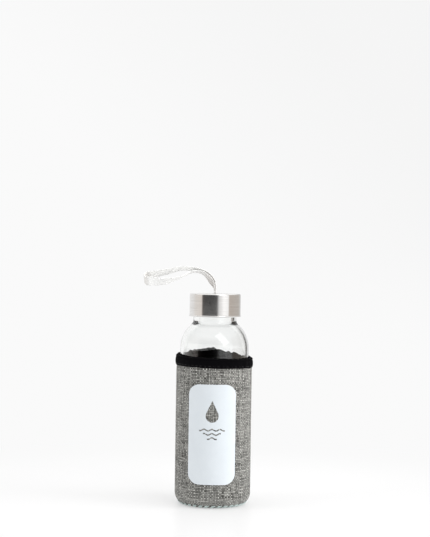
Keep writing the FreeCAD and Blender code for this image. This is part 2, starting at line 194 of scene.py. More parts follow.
def path_length(points):
    """Distance along a polyline at each of its points."""
    return np.concatenate([[0], np.cumsum(np.linalg.norm(np.diff(points, axis=0), axis=1))])


def smooth_step(low, high, x):
    """0 up to low and 1 from high on, with a smooth rise between."""
    t = np.clip((x - low) / (high - low), 0.0, 1.0)
    return t * t * (3 - 2 * t)


def ripples(rng, x, count, lowest, highest):
    """Sum of count cosines of x with random phases: an uneven but smooth wave of height about 1."""
    total = np.zeros_like(x)
    for k in rng.integers(lowest, highest + 1, count):
        total = total + np.cos(k * x + rng.uniform(0, 2 * math.pi))
    return total / math.sqrt(count)


def soft_noise(rng, shape, reach_rows, reach_columns):
    """Random grid of height about 1 that closes on itself, blurred by a Gaussian of those reaches."""
    spectrum = np.fft.fft2(rng.normal(size=shape))
    rows = np.fft.fftfreq(shape[0])[:, None]
    columns = np.fft.fftfreq(shape[1])[None, :]
    spectrum *= np.exp(-2 * math.pi ** 2 * ((rows * reach_rows) ** 2 + (columns * reach_columns) ** 2))
    field = np.real(np.fft.ifft2(spectrum))
    return field / field.std()


def spline(points, samples):
    """Natural cubic spline through points, spaced by their distances, at shares 0 to 1 of its span."""
    points = np.asarray(points, dtype=float)
    knots = path_length(points)
    n = len(points)
    gap = np.diff(knots)
    system = np.eye(n)
    right = np.zeros_like(points)
    for k in range(1, n - 1):
        system[k, k - 1:k + 2] = [gap[k - 1], 2 * (gap[k - 1] + gap[k]), gap[k]]
        right[k] = 6 * ((points[k + 1] - points[k]) / gap[k] - (points[k] - points[k - 1]) / gap[k - 1])
    bend = np.linalg.solve(system, right)
    at = np.asarray(samples) * knots[-1]
    k = np.clip(np.searchsorted(knots, at, side="right") - 1, 0, n - 2)
    a = ((knots[k + 1] - at) / gap[k])[:, None]
    b = ((at - knots[k]) / gap[k])[:, None]
    g = gap[k][:, None] ** 2 / 6
    return a * points[k] + b * points[k + 1] + ((a ** 3 - a) * bend[k] + (b ** 3 - b) * bend[k + 1]) * g


def even(path, count):
    """The same polyline at count points that are equally far apart along it."""
    lengths = path_length(path)
    at = np.linspace(0, lengths[-1], count)
    return np.stack([np.interp(at, lengths, path[:, k]) for k in range(3)], axis=1)


def unit(vectors):
    """The same directions, each of length 1."""
    return vectors / np.linalg.norm(vectors, axis=-1, keepdims=True)


def threads(name, paths, radius, turns, material):
    """Thread of two plies twisted together, along each path of paths[n, station, 3].

    The middle of a ply is centre + 0.44 r (out cos t + side sin t), with t growing along the path and
    out pointing away from the Z axis. Its section is a circle of radius 0.56 r that narrows at the tips.
    """
    plies, sides = 2, 6
    count, stations = paths.shape[:2]
    along = unit(np.gradient(paths, axis=1))
    out = paths * np.array([1.0, 1.0, 0.0])
    out = unit(out - np.sum(out * along, axis=-1, keepdims=True) * along)
    side = np.cross(along, out)
    share = np.linspace(0, 1, stations)
    taper = np.clip(np.sin(np.pi * np.clip(share, 0.04, 0.96)) * 3.0, 0.0, 1.0) ** 0.5
    ply_r = radius * 0.56
    spread = radius - ply_r
    turn = -np.linspace(0, 2 * math.pi, sides, endpoint=False)
    quads, _, _ = grid_faces(stations, sides, False, True)
    ring_id = np.arange(sides)
    following = (ring_id + 1) % sides
    vertices, faces = [], []
    start = 0
    for ply in range(plies):
        t = 2 * math.pi * (share * turns + ply / plies)
        centre = paths + spread * (out * np.cos(t)[None, :, None] + side * np.sin(t)[None, :, None])
        ring = (centre[:, :, None, :]
                + ply_r * taper[None, :, None, None]
                * (out[:, :, None, :] * np.cos(turn)[None, None, :, None]
                   + side[:, :, None, :] * np.sin(turn)[None, None, :, None]))
        for n in range(count):
            vertices += [ring[n].reshape(-1, 3), centre[n, [0, -1]]]
            first_tip = start + stations * sides
            end = first_tip - sides
            faces += (quads + start).tolist()
            faces += np.stack([start + ring_id, start + following, np.full(sides, first_tip)],
                              axis=1).tolist()
            faces += np.stack([end + following, end + ring_id, np.full(sides, first_tip + 1)],
                              axis=1).tolist()
            start = first_tip + 2
    return build_mesh(name, np.vstack(vertices), faces, None, material)


# ---------------------------------------------------------------- materials

class Nodes:
    """Node tree of a new material or world, built a call at a time. Numbers are set on sockets and
    sockets are linked.
    """

    def __init__(self, name, kind="Material"):
        self.owner = (bpy.data.worlds if kind == "World" else bpy.data.materials).new(name)
        self.owner.use_nodes = True
        self.tree = self.owner.node_tree
        self.tree.nodes.clear()
        self.output = self.tree.nodes.new("ShaderNodeOutput" + kind)

    def put(self, socket, value):
        """Sets an input to a number or a colour, or links it to another node's output."""
        if isinstance(value, bpy.types.NodeSocket):
            self.tree.links.new(value, socket)
        elif isinstance(value, tuple) and len(value) == 3 and socket.type == "RGBA":
            socket.default_value = value + (1.0,)
        else:
            socket.default_value = value

    def node(self, kind, inputs=None, **settings):
        """New shader node with these inputs, by name or number, and settings."""
        made = self.tree.nodes.new("ShaderNode" + kind)
        for key, value in settings.items():
            setattr(made, key, value)
        for key, value in (inputs or {}).items():
            self.put(made.inputs[key], value)
        return made

    def math(self, operation, a, b=None, c=None, clamp=False):
        inputs = {i: x for i, x in enumerate((a, b, c)) if x is not None}
        return self.node("Math", inputs, operation=operation, use_clamp=clamp).outputs[0]

    def mix(self, share, a, b):
        """Colour a where share is 0 and b where it is 1."""
        made = self.node("Mix", data_type="RGBA")
        self.put(made.inputs[0], share)
        self.put(made.inputs[6], a)
        self.put(made.inputs[7], b)
        return made.outputs[2]

    def choose(self, share, a, b):
        """Number a where share is 0 and b where it is 1."""
        return self.node("Mix", {0: share, 2: a, 3: b}, data_type="FLOAT").outputs[0]

    def between(self, x, low, high, to_low=0.0, to_high=1.0, smooth=True):
        """x mapped from low..high to to_low..to_high, held at the ends."""
        made = self.node("MapRange", {0: x, 1: low, 2: high, 3: to_low, 4: to_high}, clamp=True)
        made.interpolation_type = "SMOOTHSTEP" if smooth else "LINEAR"
        return made.outputs[0]

    def place(self):
        """Object coordinates."""
        return self.node("TexCoord").outputs["Object"]

    def uv(self):
        """The mesh's own u and v."""
        return self.split(self.node("UVMap", uv_map="UVMap").outputs[0])[:2]

    def bearing(self, x, y):
        """Angle round Z from the front, growing towards +X."""
        return self.math("ARCTAN2", x, self.math("MULTIPLY", y, -1.0))

    def distance(self, x, y):
        """Distance from the Z axis."""
        return self.math("SQRT", self.math("ADD", self.math("MULTIPLY", x, x), self.math("MULTIPLY", y, y)))

    def wave(self, operation, x, factor):
        """SINE or COSINE of x times a number."""
        return self.math(operation, self.math("MULTIPLY", x, factor))

    def split(self, vector):
        made = self.node("SeparateXYZ", {0: vector})
        return made.outputs[0], made.outputs[1], made.outputs[2]

    def join(self, x, y, z=0.0):
        return self.node("CombineXYZ", {0: x, 1: y, 2: z}).outputs[0]

    def noise(self, vector, scale, detail=3.0, roughness=0.6):
        return self.node("TexNoise", {"Vector": vector, "Scale": scale, "Detail": detail,
                                      "Roughness": roughness}).outputs[0]

    def random(self, vector):
        """A random number for each whole-number place."""
        return self.node("TexWhiteNoise", {"Vector": vector}, noise_dimensions="3D").outputs[0]

    def bump(self, height, strength, distance):
        return self.node("Bump", {"Height": height, "Strength": strength, "Distance": distance}).outputs[0]

    def finish(self, **inputs):
        """Principled surface with these inputs, underscores standing for spaces."""
        shader = self.node("BsdfPrincipled", {k.replace("_", " "): v for k, v in inputs.items()})
        return self.show(shader)

    def show(self, shader):
        """Ends the tree in this shader."""
        self.tree.links.new(shader.outputs[0], self.output.inputs[0])
        return self.owner


CLOTH_DARK = (0.015, 0.015, 0.014)
CLOTH_LIGHT = (0.6, 0.6, 0.565)
CLOTH_TINT = (0.2, 0.19, 0.17)


def weave_material(name, coordinates):
    """Plain weave of uneven melange yarns. coordinates gives (across, up) in whole yarns.

    Where round(u) + round(v) is even the upright yarn is on top, elsewhere the level one. Each yarn has
    its own tone, which drifts along it in slubs and flecks. Painted shade darkens each yarn from its crown
    towards the gaps between yarns.
    """
    n = Nodes(name)
    u, v = coordinates(n)
    u_id, v_id = n.math("ROUND", u), n.math("ROUND", v)
    fu, fv = n.math("SUBTRACT", u, u_id), n.math("SUBTRACT", v, v_id)
    odd = n.math("MODULO", n.math("ABSOLUTE", n.math("ADD", u_id, v_id)), 2.0)
    upright = n.math("LESS_THAN", odd, 0.5)

    def yarn_tone(index, along, seed):
        own = n.random(n.join(index, seed))
        slub_place = n.join(n.math("MULTIPLY", index, 3.7), n.math("MULTIPLY", along, 0.17), seed)
        slub = n.noise(slub_place, 1.0, 2.0)
        fleck_place = n.join(n.math("MULTIPLY", index, 5.1), n.math("MULTIPLY", along, 0.9), seed + 3.0)
        fleck = n.noise(fleck_place, 1.0, 1.0)
        tone = n.math("MULTIPLY_ADD", n.between(slub, 0.3, 0.7), 0.52, n.math("MULTIPLY", own, 0.26))
        return n.math("MULTIPLY_ADD", n.between(fleck, 0.25, 0.75), 0.28, tone)

    level_tone = n.math("MULTIPLY", yarn_tone(v_id, u, 7.5), 0.78)
    tone = n.choose(upright, level_tone, yarn_tone(u_id, v, 1.5))
    across, along = n.choose(upright, fv, fu), n.choose(upright, fu, fv)
    crown = n.math("MULTIPLY", n.wave("COSINE", across, math.pi), n.wave("COSINE", along, 0.62 * math.pi))
    fibre = n.noise(n.join(n.math("MULTIPLY", across, 9.0), n.math("MULTIPLY", along, 1.6),
                           n.math("MULTIPLY_ADD", u_id, 0.37, v_id)), 1.0, 2.0)
    light = n.mix(n.between(tone, 0.12, 0.88, smooth=False), CLOTH_DARK, CLOTH_LIGHT)
    light = n.mix(n.between(fibre, 0.35, 0.75, 0.0, 0.5), light, CLOTH_TINT)
    # Painted shade: the colour is darkened from each yarn's crown to 8 % at its edges, darkest in the gaps
    # between yarns.
    painted_gap_shade = n.between(crown, 0.02, 0.85, 0.08, 1.0)
    shaded = n.node("Mix", {0: 1.0, 6: light, 7: n.join(painted_gap_shade, painted_gap_shade, painted_gap_shade)}, data_type="RGBA",
                    blend_type="MULTIPLY").outputs[2]
    height = n.math("MULTIPLY_ADD", fibre, 0.25, crown)
    return n.finish(Base_Color=shaded, Roughness=n.math("MULTIPLY_ADD", fibre, 0.15, 0.72),
                    Sheen_Weight=0.12, Sheen_Roughness=0.5, Specular_IOR_Level=0.25,
                    Normal=n.bump(height, 0.7, 0.15 * MM))


def wall_yarns(n):
    """The sleeve's yarn counts from the place on its wall."""
    x, y, z = n.split(n.place())
    return (n.math("MULTIPLY", n.bearing(x, y), YARNS_AROUND / (2 * math.pi)),
            n.math("MULTIPLY_ADD", z, 1000.0 / YARN, WALL_V0))


def base_yarns(n):
    """The yarn counts of a cloth that lies level."""
    x, y, _ = n.split(n.place())
    return n.math("MULTIPLY", x, 1000.0 / YARN), n.math("MULTIPLY", y, 1000.0 / YARN)


def print_material():
    """White screen print: ink that bridges the yarns, a little thinner between them."""
    n = Nodes("screen_print_white")
    u, v = wall_yarns(n)
    cell = n.math("MULTIPLY", n.wave("COSINE", u, 2 * math.pi), n.wave("COSINE", v, 2 * math.pi))
    patch = n.noise(n.join(u, v), 0.12, 4.0)
    speck = n.noise(n.join(u, v), 0.9, 2.0)
    worn = n.math("MULTIPLY", n.between(speck, 0.62, 0.8), n.between(patch, 0.4, 0.75))
    colour = n.mix(patch, (0.57, 0.61, 0.645), (0.625, 0.665, 0.695))
    colour = n.mix(n.math("MULTIPLY", worn, 0.5), colour, (0.4, 0.42, 0.43))
    height = n.math("MULTIPLY_ADD", patch, 0.6, cell)
    return n.finish(Base_Color=colour, Roughness=n.math("MULTIPLY_ADD", patch, 0.2, 0.45),
                    Specular_IOR_Level=0.3, Normal=n.bump(height, 0.35, 0.08 * MM))


def tape_material():
    """Black elastic knit tape: fine upright cords crossed by finer level rows."""
    n = Nodes("black_elastic_tape")
    u, v = n.uv()
    cord = n.wave("COSINE", u, 2 * math.pi)
    row = n.wave("COSINE", v, 2 * math.pi)
    dust = n.noise(n.join(u, v), 2.3, 3.0)
    colour = n.mix(n.between(dust, 0.35, 0.8), (0.001, 0.001, 0.0013), (0.004, 0.0035, 0.0045))
    height = n.math("ADD", n.math("MULTIPLY", cord, 0.5), n.math("MULTIPLY_ADD", row, 0.35, dust))
    return n.finish(Base_Color=colour, Roughness=0.9, Sheen_Weight=0.01, Sheen_Roughness=0.4,
                    Specular_IOR_Level=0.05, Normal=n.bump(height, 0.6, 0.12 * MM))


def lining_material():
    """Black jersey bonded to the foam, in fine upright wales."""
    n = Nodes("black_jersey_lining")
    x, y, z = n.split(n.place())
    wale = n.wave("SINE", n.bearing(x, y), 260.0)
    climb = n.math("MULTIPLY", z, 9000.0)
    loop = n.math("SINE", n.math("MULTIPLY_ADD", n.math("ABSOLUTE", wale), 1.2, climb))
    dust = n.noise(n.place(), 900.0, 3.0)
    colour = n.mix(n.between(dust, 0.4, 0.75), (0.0025, 0.003, 0.0045), (0.009, 0.0095, 0.0125))
    height = n.math("ADD", n.math("MULTIPLY", wale, 0.4), n.math("MULTIPLY", loop, 0.4))
    return n.finish(Base_Color=colour, Roughness=0.9, Sheen_Weight=0.02, Sheen_Roughness=0.4,
                    Specular_IOR_Level=0.1, Normal=n.bump(height, 0.6, 0.1 * MM))


def thread_material(name, colour, shade):
    """Spun thread: fine fibres along and across, with a faint fuzz."""
    n = Nodes(name)
    fibre = n.noise(n.place(), 4200.0, 3.0)
    return n.finish(Base_Color=n.mix(n.between(fibre, 0.3, 0.7), shade, colour), Roughness=0.55,
                    Sheen_Weight=0.2, Specular_IOR_Level=0.35, Normal=n.bump(fibre, 0.5, 0.06 * MM))


def ribbon_material():
    """Pale woven polyester ribbon: crosswise ribs, tiny diagonal floats and tighter selvedges.

    U runs along the ribbon in ribs from its far fold, V across it from 0 to 1 on each face. Where the
    ribbon bends, at the fold and by the cap, painted shade darkens it, and the ground between its ribs
    most.
    """
    n = Nodes("ribbon_pale_grosgrain")
    u, v = n.uv()
    across = n.math("MULTIPLY", v, 22.0)
    slant = n.wave("SINE", n.math("ADD", across, n.math("MULTIPLY", u, 2.0)), math.pi)
    rib = n.wave("COSINE", u, 2 * math.pi)
    warp = n.wave("COSINE", across, 2 * math.pi)
    patch = n.noise(n.join(u, across), 0.35, 3.0)
    edge = n.between(n.math("ABSOLUTE", n.math("SUBTRACT", n.math("MULTIPLY", v, 2.0), 1.0)), 0.8, 0.88)
    gap = n.between(n.math("MULTIPLY_ADD", warp, 0.15, n.math("MULTIPLY_ADD", slant, 0.2, rib)), -1.3, 0.2)
    from_fold = n.math("ABSOLUTE", u)
    # Painted shade: near the fold and by the cap the ribbon's colour and the ground between its ribs are
    # darkened.
    painted_bend_shade = n.math("MAXIMUM", n.between(from_fold, 3.0, 7.0, 0.75, 0.0), n.between(from_fold, 38.0, 52.0))
    colour = n.mix(gap, n.mix(painted_bend_shade, (0.86, 0.86, 0.85), (0.26, 0.24, 0.22)),
                   n.mix(painted_bend_shade, (0.93, 0.93, 0.92), (0.74, 0.72, 0.7)))
    colour = n.mix(n.math("MULTIPLY", edge, 0.6), colour, (0.74, 0.74, 0.73))
    height = n.math("ADD", n.math("MULTIPLY", warp, 0.25), n.math("MULTIPLY_ADD", slant, 0.25, patch))
    return n.finish(Base_Color=colour, Roughness=n.math("MULTIPLY_ADD", patch, 0.2, 0.45),
                    Sheen_Weight=0.1, Specular_IOR_Level=0.4,
                    Normal=n.bump(height, 0.15, 0.05 * MM))


def steel_material():
    """Stainless steel brushed round the cap: long fine scratches, a few deeper, and faint smears."""
    n = Nodes("brushed_stainless_steel")
    x, y, z = n.split(n.place())
    angle = n.bearing(x, y)
    turned = n.join(n.math("MULTIPLY", n.math("SINE", angle), 0.9),
                    n.math("MULTIPLY", n.math("COSINE", angle), 0.9),
                    n.math("MULTIPLY", n.math("ADD", z, n.distance(x, y)), 2600.0))
    fine = n.noise(turned, 1.0, 3.0, 0.7)
    coarse = n.noise(turned, 0.23, 2.0)
    smear = n.noise(n.place(), 90.0, 3.0)
    grain = n.math("ADD", n.math("MULTIPLY", fine, 0.75), n.math("MULTIPLY", coarse, 0.25))
    colour = n.mix(n.between(grain, 0.3, 0.7), (0.68, 0.665, 0.65), (0.82, 0.81, 0.8))
    tangent = n.node("Tangent", direction_type="RADIAL", axis="Z").outputs[0]
    roughness = n.math("MULTIPLY_ADD", grain, 0.07, n.math("MULTIPLY_ADD", smear, 0.05, 0.075))
    return n.finish(Base_Color=colour, Metallic=1.0, Roughness=roughness, Anisotropic=0.55,
                    Anisotropic_Rotation=0.25, Tangent=tangent,
                    Normal=n.bump(grain, 0.12, 0.03 * MM))


def plastic_material():
    """Moulded polypropylene of the cap's liner: milky, with flow marks and a fine spark-eroded grain."""
    n = Nodes("moulded_liner_plastic")
    flow = n.noise(n.place(), 160.0, 3.0)
    grain = n.noise(n.place(), 3000.0, 2.0)
    colour = n.mix(flow, (0.62, 0.62, 0.6), (0.72, 0.72, 0.705))
    return n.finish(Base_Color=colour, Roughness=n.math("MULTIPLY_ADD", grain, 0.2, 0.35),
                    Subsurface_Weight=0.2, Subsurface_Scale=0.0015, Normal=n.bump(grain, 0.2, 0.03 * MM))


def silicone_material():
    """Soft translucent seal with dust on it and a matt skin."""
    n = Nodes("silicone_seal")
    dust = n.noise(n.place(), 1500.0, 3.0)
    colour = n.mix(n.between(dust, 0.45, 0.8), (0.66, 0.67, 0.66), (0.5, 0.5, 0.49))
    return n.finish(Base_Color=colour, Roughness=n.math("MULTIPLY_ADD", dust, 0.3, 0.4),
                    Subsurface_Weight=0.35, Subsurface_Scale=0.002, Normal=n.bump(dust, 0.15, 0.05 * MM))


def glass_material():
    """Clear soda glass: very slightly wavy from blowing, with a faint smear of handling."""
    n = Nodes("clear_soda_glass")
    x, y, z = n.split(n.place())
    wave = n.noise(n.join(x, y, n.math("MULTIPLY", z, 0.5)), 55.0, 1.0)
    smear = n.noise(n.place(), 70.0, 4.0)
    return n.finish(Base_Color=(0.985, 0.992, 0.988), Roughness=n.between(smear, 0.5, 0.8, 0.0, 0.02),
                    IOR=1.5, Transmission_Weight=1.0, Normal=n.bump(wave, 0.12, 0.4 * MM))


def dress(node, material):
    """Gives a CAD node that keeps its mesh this material in every slot."""
    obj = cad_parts[node]
    obj.data.materials.clear()
    obj.data.materials.append(material)


# ---------------------------------------------------------------- glass

def arc(centre, radius, start, end, count=14):
    """(radius, height) points of a circle in the bottle's section, angles in degrees from outward."""
    a = np.radians(np.linspace(start, end, count))
    return [(centre[0] + radius * math.cos(t), centre[1] + radius * math.sin(t)) for t in a]


def straight(start, end, count):
    """(radius, height) points of a line."""
    return [tuple(p) for p in np.linspace(start, end, count)]


def crowned(middle_z, radii, edge_r, rise):
    """(radius, height) points of a shallow crown, rise lower at edge_r than in the middle."""
    bend = (edge_r ** 2 + rise ** 2) / (2 * rise)
    return [(r, middle_z - bend + math.sqrt(bend ** 2 - r * r)) for r in radii]


def neck_join(dome_radius, wall_r, fillet):
    """Centre of the fillet between the shoulder dome and the neck, and where it leaves the dome."""
    across = wall_r + fillet - DOME[0]
    rise = math.sqrt((dome_radius + fillet) ** 2 - across ** 2)
    return (wall_r + fillet, DOME[1] + rise), math.degrees(math.atan2(rise, across))


def thread_bulge(angle, radius, height):
    """Radius of the neck with its screw thread, a round ridge of radius TOOTH up a helix.

    The ridge stands out by sqrt(TOOTH^2 - dz^2 - s^2), dz being the height off the helix and s the
    distance past either of its ends.
    """
    share = np.mod(angle - math.pi / 2 - THREAD_START, 2 * math.pi) / (2 * math.pi)
    result = radius * np.ones_like(share)
    on_neck = (height > NECK_Z + 0.04) & (height < RIM_Z - 0.7) & (radius > NECK_R - 0.01)
    for whole in (-1, 0, 1):
        turns = np.clip(share + whole, 0.0, THREAD_TURNS)
        past = (share + whole - turns) * 2 * math.pi * THREAD_R
        off = height - THREAD_Z - THREAD_PITCH * turns
        left = TOOTH ** 2 - off ** 2 - past ** 2
        ridge = THREAD_R + np.sqrt(np.clip(left, 0, None))
        result = np.where(on_neck & (left > 0), np.maximum(result, ridge), result)
    return result


def bottle_glass(material):
    """The bottle turned round Z: foot, heel, wall, dome, neck with its thread, and the same way back in."""
    outer_fillet, outer_angle = neck_join(DOME_R, COLLAR_R, COLLAR_FILLET)
    inner_fillet, inner_angle = neck_join(DOME_IN_R, BORE_R, BORE_FILLET)
    profile = (
        crowned(FOOT_DOME_Z, np.linspace(0.8, 19.5, 12), 19.5, 1.4)
        + arc((20.5, 4.0), 1.0, -145, -90, 5)
        + [(22.0, FOOT_Z)]
        + arc((22.0, 11.0), 8.0, -84, 0)
        + straight((BODY_R, 16.0), (BODY_R, 130.0), 8)
        + arc(DOME, DOME_R, 0, outer_angle, 36)
        + arc(outer_fillet, COLLAR_FILLET, 180 + outer_angle - 5, 180, 14)
        + straight((COLLAR_R, outer_fillet[1] + 1.0), (COLLAR_R, 163.5), 3)
        + arc((18.1, 163.6), 0.8, 10, 90, 6)
        + [(NECK_R + 0.3, NECK_Z)]
        + straight((NECK_R, NECK_Z + 0.15), (NECK_R, RIM_Z - 0.85), 68)
        + arc((16.5, 176.2), 0.8, 5, 90, 7)
        + arc((15.8, 176.2), 0.8, 90, 180, 8)
        + straight((BORE_R, 175.0), (BORE_R, inner_fillet[1] + 1.0), 5)
        + arc(inner_fillet, BORE_FILLET, 180, 180 + inner_angle, 16)
        + arc(DOME, DOME_IN_R, inner_angle - 3, 0, 34)
        + straight((BODY_IN_R, 130.0), (BODY_IN_R, 16.0), 8)
        + arc((21.5, 13.5), 6.0, 0, -88)
        + crowned(FLOOR_Z, np.linspace(21.5, 0.8, 12)[1:], 21.5, 0.9))
    radius, height = np.array(profile).T[:, None, :]
    angle = around(240) * np.ones_like(radius)
    points = cylinder_points(angle, thread_bulge(angle, radius, height), height)
    return surface("bottle_glass", points, material, True, False,
                   pole_first=(0, 0, FOOT_DOME_Z), pole_last=(0, 0, FLOOR_Z))


# ---------------------------------------------------------------- sleeve

def wall_profile():
    """Radii and heights of the wall's outer face from the seam up, YARN_SAMPLES points to a yarn, and
    the length of its turned part.
    """
    across = SLEEVE_R - TURN_CENTRE_R
    in_turn = 400
    a = np.linspace(math.asin((SEAM_R - TURN_CENTRE_R) / across), math.pi / 2, in_turn)
    radius = np.concatenate([TURN_CENTRE_R + across * np.sin(a), [SLEEVE_R]])
    height = np.concatenate([TURN_Z - TURN_DROP * np.cos(a), [WALL_TOP]])
    length = np.concatenate([[0], np.cumsum(np.hypot(np.diff(radius), np.diff(height)))])
    step = YARN / YARN_SAMPLES
    at = np.arange(int(length[-1] / step) + 1) * step
    return np.interp(at, length, radius), np.interp(at, length, height), length[in_turn - 1]


WALL_OUT_R, WALL_OUT_Z, TURN_LENGTH = wall_profile()
WALL_V0 = (TURN_LENGTH - TURN_Z) / YARN


def sleeve_wall(material):
    """Woven face and foam: closed section turned round Z.

    The outer face is pushed out by WEAVE_RELIEF * cos(pi u) cos(pi v), with u and v in yarns that
    wander a little, and by slow dents. It is drawn in where the binding grips it, and it ripples with
    the stitches near the base seam.
    """
    rng = np.random.default_rng(11)
    columns = YARN_SAMPLES * YARNS_AROUND
    angle = around(columns)
    rows = len(WALL_OUT_R)
    near, far = 0.6 * YARN_SAMPLES, 5.0 * YARN_SAMPLES
    wander_u = YARN_WANDER * soft_noise(rng, (columns, rows), near, far)
    wander_v = YARN_WANDER * soft_noise(rng, (columns, rows), far, near)
    u = np.arange(columns)[:, None] / YARN_SAMPLES + wander_u
    v = np.arange(rows)[None, :] / YARN_SAMPLES + wander_v
    relief = WEAVE_RELIEF * np.cos(math.pi * u) * np.cos(math.pi * v)
    dent = 0.1 * ripples(rng, angle, 4, 2, 5) * np.sin(WALL_OUT_Z[None, :] * 0.045 + 1.0)
    pinch = -0.35 * smooth_step(119.0, 121.5, WALL_OUT_Z)[None, :]
    scallop = 0.2 * np.cos(BASE_STITCHES * angle) * smooth_step(8.0, 2.0, WALL_OUT_Z)[None, :]
    radius = WALL_OUT_R[None, :] - 0.04 + relief + dent + pinch + scallop
    outer = cylinder_points(angle * np.ones((1, rows)), radius, WALL_OUT_Z[None, :])
    down = np.linspace(WALL_TOP - 0.6, TURN_Z, 12)
    across = WALL_IN_R - TURN_CENTRE_R
    turn = np.linspace(math.pi / 2, math.asin((SEAM_R - TURN_CENTRE_R) / across), 8)[1:]
    inner_r = np.concatenate([np.full_like(down, WALL_IN_R), TURN_CENTRE_R + across * np.sin(turn)])
    inner_z = np.concatenate([down, TURN_Z - TURN_IN_DROP * np.cos(turn)])
    inner = cylinder_points(angle * np.ones((1, len(inner_r))), inner_r[None, :], inner_z[None, :])
    points = np.concatenate([outer, inner], axis=1)
    inside = np.arange(len(inner_r) + 1)[None, :] * np.ones((columns, 1))
    lines_u = np.concatenate([u, u[:, -1:] + 0 * inside], axis=1)
    lines_v = np.concatenate([v, v[:, -1:] + 1 + inside], axis=1)
    lines_u = np.vstack([lines_u, lines_u[:1] + YARNS_AROUND])
    lines_v = np.vstack([lines_v, lines_v[:1]])
    return surface("sleeve_wall", points, material, True, True, lines_u, lines_v)


def base_pad(material):
    """Woven face and foam of the base: a disc whose underside rises to the seam along an arc.

    The underside is woven by z += WEAVE_RELIEF (1 - cos(pi x / YARN) cos(pi y / YARN)).
    """
    angle = around(300)
    bend = ((BASE_R - BASE_FLAT_R) ** 2 + BASE_EDGE_Z ** 2) / (2 * BASE_EDGE_Z)
    under_r = np.concatenate([np.arange(0.5, BASE_R, 0.5), [BASE_R]])
    past = np.clip(under_r - BASE_FLAT_R, 0, None)
    under_z = bend - np.sqrt(bend ** 2 - past ** 2)
    side_r = np.array([BASE_R + 0.02, BASE_R])
    side_z = np.array([under_z[-1] + 0.35, BASE_TOP_Z - 0.25])
    top_r = np.array([BASE_R - 0.2, 20.0, 10.0, 1.0])
    radius = np.concatenate([under_r, side_r, top_r])[None, :]
    height = np.concatenate([under_z, side_z, np.full(4, BASE_TOP_Z)])[None, :]
    points = cylinder_points(angle * np.ones_like(radius), radius * np.ones_like(angle), height)
    woven = np.arange(radius.shape[1]) < len(under_r) - 1
    x, y = points[..., 0], points[..., 1]
    weave = 0.5 - 0.5 * np.cos(math.pi * x / YARN) * np.cos(math.pi * y / YARN)
    points[..., 2] += 2 * WEAVE_RELIEF * weave * woven[None, :]
    return surface("base_pad", points, material, True, False,
                   pole_first=(0, 0, WEAVE_RELIEF), pole_last=(0, 0, BASE_TOP_Z))


def rim_height(angle):
    """Height of the binding's top round the bottle: lower towards the front and +X, with a peak behind."""
    from_peak = np.abs(np.angle(np.exp(1j * (angle - math.pi - 0.14))))
    return 129.3 - 0.3 * np.cos(angle) - 1.0 * np.sin(angle) + 5.0 * np.exp(-(from_peak / 0.75) ** 1.3)


def binding_band(material):
    """Elastic tape folded over the sleeve's top edge, as one closed band.

    Its section goes up the outside, over a half circle and down the inside. The lower outer edge dips,
    the rim rises at the back, and the running stitch pulls a row of shallow puckers into the outside.
    """
    rng = np.random.default_rng(5)
    columns = 3 * BAND_CORDS
    angle = around(columns)
    low = 120.7 - 0.75 * np.sin(angle) + 0.12 * ripples(rng, angle, 5, 6, 22)
    behind = smooth_step(1.6, 2.6, np.abs(np.angle(np.exp(1j * angle))))
    top = rim_height(angle) + (0.12 + 0.5 * behind) * ripples(rng, angle, 7, 9, 40)
    outer_share = np.linspace(0, 1, 26)[None, :]
    bend = np.linspace(0, math.pi, 13)[None, 1:-1]
    inner_share = np.linspace(0, 1, 10)[None, :]
    swell = np.sin(math.pi * outer_share) ** 0.6
    stitch_row = np.exp(-((outer_share - 0.17) / 0.07) ** 2)
    pucker = 0.16 * stitch_row * (np.cos(TAPE_STITCHES * angle) - 1.2)
    cord = 0.035 * np.cos(BAND_CORDS * angle)
    creases = 0.16 * ripples(rng, angle, 6, 14, 34) * np.sin(math.pi * outer_share) ** 2
    outer_r = BAND_MIDDLE_R + BAND_HALF - 0.5 + 0.68 * swell + pucker + cord + creases
    outer_z = low + (top - BAND_HALF - low) * outer_share
    bend_r = BAND_MIDDLE_R + (BAND_HALF + 0.02) * np.cos(bend) + cord
    bend_z = top - BAND_HALF + BAND_HALF * np.sin(bend)
    inner_z = (top - BAND_HALF) + (BAND_IN_LOW - top + BAND_HALF) * inner_share
    inner_r = np.full_like(inner_z, BAND_MIDDLE_R - BAND_HALF + 0.03)
    under_r = np.array([[30.9, 32.4, 33.05]]) + 0.0 * angle
    under_z = np.array([[122.6, 122.2, 121.4]]) + 0.0 * angle
    under_z[:, 2] = low[:, 0] + 0.5
    radius = np.concatenate([outer_r, bend_r, inner_r, under_r], axis=1)
    height = np.concatenate([outer_z, bend_z, inner_z, under_z], axis=1)
    points = cylinder_points(angle * np.ones_like(radius), radius, height)
    v = np.concatenate([[0], np.cumsum(np.hypot(np.diff(radius[0]), np.diff(height[0])))])
    v = np.concatenate([v, [v[-1] + 1.0]]) / 0.7
    return surface("binding_band", points, material, True, True, np.arange(columns + 1) / 3, v)


def ring_paths(count, stations, shape):
    """Paths of one stitch repeated round Z. shape gives its angle, radius and height for t from -1 to 1."""
    angle, radius, height = shape(np.linspace(-1, 1, stations)[None, :])
    turned = (np.arange(count) * 2 * math.pi / count)[:, None] + angle
    return cylinder_points(turned, radius * np.ones_like(turned), height * np.ones_like(turned))


